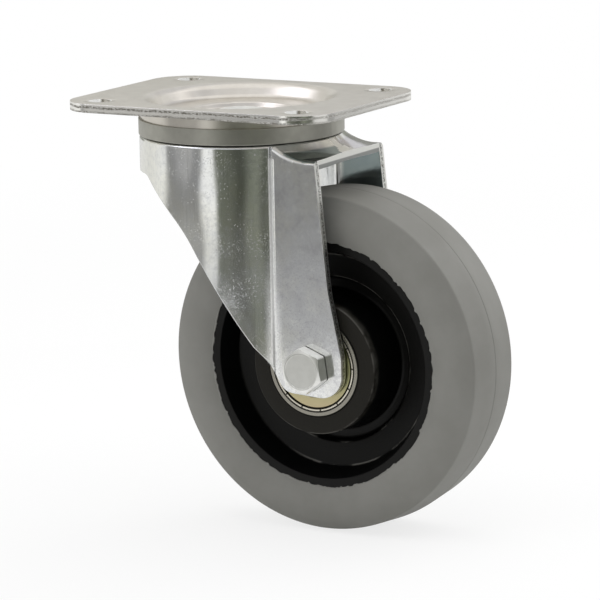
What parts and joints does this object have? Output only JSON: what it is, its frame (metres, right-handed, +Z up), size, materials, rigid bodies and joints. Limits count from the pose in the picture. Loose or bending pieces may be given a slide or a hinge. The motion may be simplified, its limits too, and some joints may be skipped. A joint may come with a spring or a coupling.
{
  "type": "swivel castor",
  "caption": "Plate-mounted swivel castor: pressed zinc-plated fork with trailing legs, black plastic wheel centre, grey rubber tyre and ball bearings.",
  "frame": {"origin": "centre of the top plate's upper face, on the swivel axis and in the middle of the bolt pattern", "axes": "+Z up out of the mounting face, +X the way the wheel trails at rest, Y along the axle, with the bolt head on the -Y side"},
  "size_m": [0.2013, 0.106, 0.2],
  "materials": {
    "zinc_plated_plate": "satin zinc plating",
    "dark_ring": "smooth dull metal",
    "zinc_plated_fork": "bright zinc plating",
    "zinc_plated_fastener": "satin zinc plating",
    "bearing_steel": "ground steel",
    "ball_steel": "polished steel",
    "shield_steel": "yellowish pressed steel",
    "grey_rubber": "matt grey rubber",
    "black_plastic": "black moulded plastic",
    "nylon_insert": "nylon"
  },
  "bodies": {
    "plate": {"top_plate": "zinc_plated_plate", "dust_ring": "dark_ring", "kingpin": "zinc_plated_fastener", "kingpin_washer": "zinc_plated_fastener", "kingpin_nut": "zinc_plated_fastener", "lower_cup": "zinc_plated_plate"},
    "swivel_fork": {"fork": "zinc_plated_fork", "axle_bolt": "zinc_plated_fastener", "lock_nut": "zinc_plated_fastener", "lock_nut_insert": "nylon_insert", "axle_sleeve": "zinc_plated_fastener", "distance_tube": "zinc_plated_fastener", "near_side_spacer": "zinc_plated_fastener", "far_side_spacer": "zinc_plated_fastener", "near_inner_ring": "bearing_steel", "far_inner_ring": "bearing_steel"},
    "wheel": {"tyre": "grey_rubber", "wheel_rim": "black_plastic", "wheel_web": "black_plastic", "wheel_hub": "black_plastic", "near_outer_ring": "bearing_steel", "far_outer_ring": "bearing_steel", "near_outer_shield": "shield_steel", "near_inner_shield": "shield_steel", "far_outer_shield": "shield_steel", "far_inner_shield": "shield_steel"},
    "upper_ball_set": {"upper_balls": "ball_steel"},
    "lower_ball_set": {"lower_balls": "ball_steel"},
    "near_bearing_set": {"near_balls": "ball_steel", "near_cage": "bearing_steel"},
    "far_bearing_set": {"far_balls": "ball_steel", "far_cage": "bearing_steel"}
  },
  "joints": [
    {"name": "swivel", "type": "hinge", "parent": "plate", "child": "swivel_fork", "pos_m": [0, 0, 0], "axis": [0, 0, 1], "continuous": true},
    {"name": "wheel_spin", "type": "hinge", "parent": "swivel_fork", "child": "wheel", "pos_m": [0.052, 0, -0.12], "axis": [0, 1, 0], "continuous": true},
    {"name": "upper_ball_orbit", "type": "hinge", "parent": "plate", "child": "upper_ball_set", "pos_m": [0, 0, 0], "axis": [0, 0, 1], "continuous": true},
    {"name": "lower_ball_orbit", "type": "hinge", "parent": "plate", "child": "lower_ball_set", "pos_m": [0, 0, 0], "axis": [0, 0, 1], "continuous": true},
    {"name": "near_bearing_orbit", "type": "hinge", "parent": "swivel_fork", "child": "near_bearing_set", "pos_m": [0.052, 0, -0.12], "axis": [0, 1, 0], "continuous": true},
    {"name": "far_bearing_orbit", "type": "hinge", "parent": "swivel_fork", "child": "far_bearing_set", "pos_m": [0.052, 0, -0.12], "axis": [0, 1, 0], "continuous": true}
  ],
  "couplings": [
    {"joint": "upper_ball_orbit", "follows": "swivel", "ratio": 0.5},
    {"joint": "lower_ball_orbit", "follows": "swivel", "ratio": 0.5},
    {"joint": "near_bearing_orbit", "follows": "wheel_spin", "ratio": 0.61851},
    {"joint": "far_bearing_orbit", "follows": "wheel_spin", "ratio": 0.61851}
  ]
}
